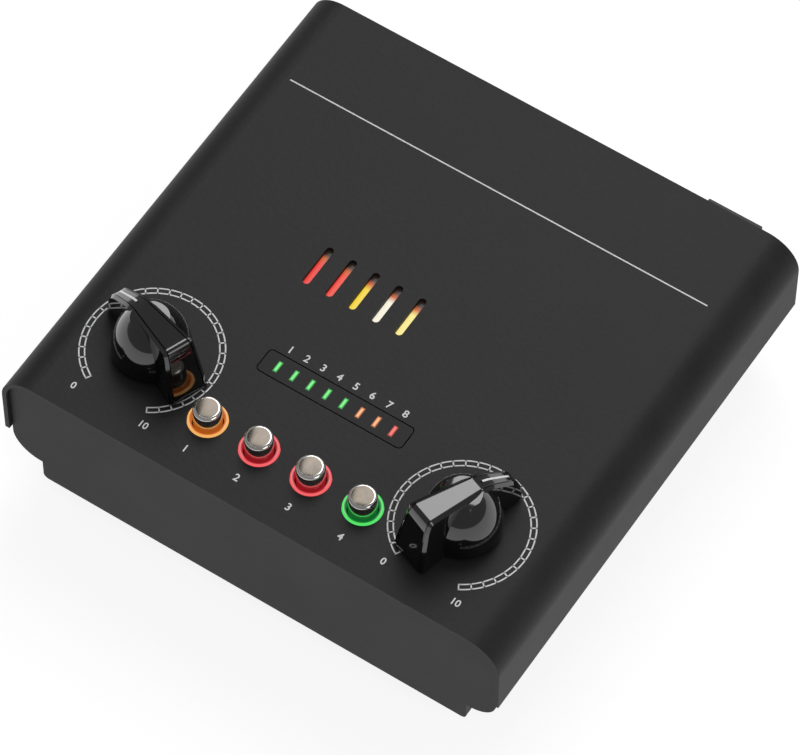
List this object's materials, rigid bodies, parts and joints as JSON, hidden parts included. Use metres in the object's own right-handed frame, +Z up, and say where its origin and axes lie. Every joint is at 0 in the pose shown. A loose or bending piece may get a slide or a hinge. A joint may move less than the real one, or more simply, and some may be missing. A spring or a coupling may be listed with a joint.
{
  "type": "microphone preamp",
  "caption": "Desktop valve microphone preamplifier: bent steel cover with two pointer knobs, lit push buttons, a level meter and vent slots, rear round and jack sockets, rubber feet.",
  "frame": {"origin": "middle of the unit's width and of its whole depth, on the plane the feet stand on", "axes": "+Z up, -Y the front edge with the controls, +Y the rear with the connectors, +X to the right seen from the front"},
  "size_m": [0.136, 0.133, 0.0618],
  "materials": {
    "cover_paint": "fine textured powder coat",
    "housing_paint": "fine textured powder coat",
    "knob_plastic": "polished phenolic moulding",
    "button_chrome": "bright plated cap",
    "ring_amber": "clear light guide, lit amber",
    "ring_red": "clear light guide, lit red",
    "ring_green": "clear light guide, lit green",
    "window_plastic": "dark window insert",
    "light_green": "lit green bar",
    "light_amber": "lit amber bar",
    "light_red": "lit red bar",
    "glow_lamp": "warm lamp",
    "board_laminate": "solder-masked glass laminate",
    "black_moulding": "moulded",
    "chip_epoxy": "moulded epoxy",
    "zinc_steel": "zinc plated",
    "black_steel": "black oxide screw",
    "nickel_shell": "nickel plated die casting",
    "contact_gold": "plated contact",
    "aluminium": "bare aluminium",
    "valve_glass": "clear blown glass",
    "electrode_metal": "grey carbonised plate",
    "foot_rubber": "moulded rubber"
  },
  "bodies": {
    "chassis": {"top_cover": "cover_paint", "lower_housing": "housing_paint", "front_panel": "housing_paint", "rear_panel": "housing_paint", "rubber_feet": "foot_rubber", "foot_screws": "zinc_steel", "cover_posts": "zinc_steel", "gain_pot": "black_moulding", "output_pot": "black_moulding", "pot_nuts": "zinc_steel", "pad_light_ring": "ring_amber", "pad_switch": "black_moulding", "phantom_light_ring": "ring_red", "phantom_switch": "black_moulding", "phase_light_ring": "ring_red", "phase_switch": "black_moulding", "limiter_light_ring": "ring_green", "limiter_switch": "black_moulding", "meter_window": "window_plastic", "meter_green_lights": "light_green", "meter_amber_lights": "light_amber", "meter_red_light": "light_red", "main_board": "board_laminate", "board_standoffs": "zinc_steel", "board_screws": "zinc_steel", "control_board": "board_laminate", "filter_capacitors": "black_moulding", "amplifier_chips": "chip_epoxy", "board_link": "black_moulding", "heat_sink": "aluminium", "voltage_regulator": "chip_epoxy", "tube_glass": "valve_glass", "tube_pins": "zinc_steel", "tube_electrodes": "electrode_metal", "tube_socket": "black_moulding", "tube_bracket": "zinc_steel", "glow_lights": "glow_lamp", "mic_input_shell": "nickel_shell", "mic_input_insert": "black_moulding", "mic_input_contacts": "contact_gold", "balanced_output_shell": "nickel_shell", "balanced_output_insert": "black_moulding", "balanced_output_pins": "contact_gold", "line_input_jack": "black_moulding", "line_output_jack": "black_moulding", "jack_nuts": "nickel_shell", "jack_supports": "black_moulding", "power_inlet": "black_moulding", "power_inlet_pin": "contact_gold", "connector_screws": "black_steel"},
    "gain_knob_group": {"gain_knob": "knob_plastic", "gain_shaft": "aluminium"},
    "output_knob_group": {"output_knob": "knob_plastic", "output_shaft": "aluminium"},
    "mic_latch": {"mic_input_latch": "black_moulding"},
    "pad_cap": {"pad_button": "button_chrome"},
    "phantom_cap": {"phantom_button": "button_chrome"},
    "phase_cap": {"phase_button": "button_chrome"},
    "limiter_cap": {"limiter_button": "button_chrome"}
  },
  "joints": [
    {"name": "gain_turn", "type": "hinge", "parent": "chassis", "child": "gain_knob_group", "pos_m": [-0.04234, -0.0422, 0.0451], "axis": [0, 0, 1], "range_deg": [-218, 82]},
    {"name": "output_turn", "type": "hinge", "parent": "chassis", "child": "output_knob_group", "pos_m": [0.04234, -0.0422, 0.0451], "axis": [0, 0, 1], "range_deg": [-129.5, 170.5]},
    {"name": "pad_press", "type": "slide", "parent": "chassis", "child": "pad_cap", "axis": [0, 0, -1], "range_m": [0, 0.0016], "stiffness_N_per_m": 500, "springref_m": -0.001},
    {"name": "phantom_press", "type": "slide", "parent": "chassis", "child": "phantom_cap", "axis": [0, 0, -1], "range_m": [0, 0.0016], "stiffness_N_per_m": 500, "springref_m": -0.001},
    {"name": "phase_press", "type": "slide", "parent": "chassis", "child": "phase_cap", "axis": [0, 0, -1], "range_m": [0, 0.0016], "stiffness_N_per_m": 500, "springref_m": -0.001},
    {"name": "limiter_press", "type": "slide", "parent": "chassis", "child": "limiter_cap", "axis": [0, 0, -1], "range_m": [0, 0.0016], "stiffness_N_per_m": 500, "springref_m": -0.001},
    {"name": "mic_release", "type": "slide", "parent": "chassis", "child": "mic_latch", "axis": [0, 0, -1], "range_m": [0, 0.0012], "stiffness_N_per_m": 800, "springref_m": -0.001}
  ]
}
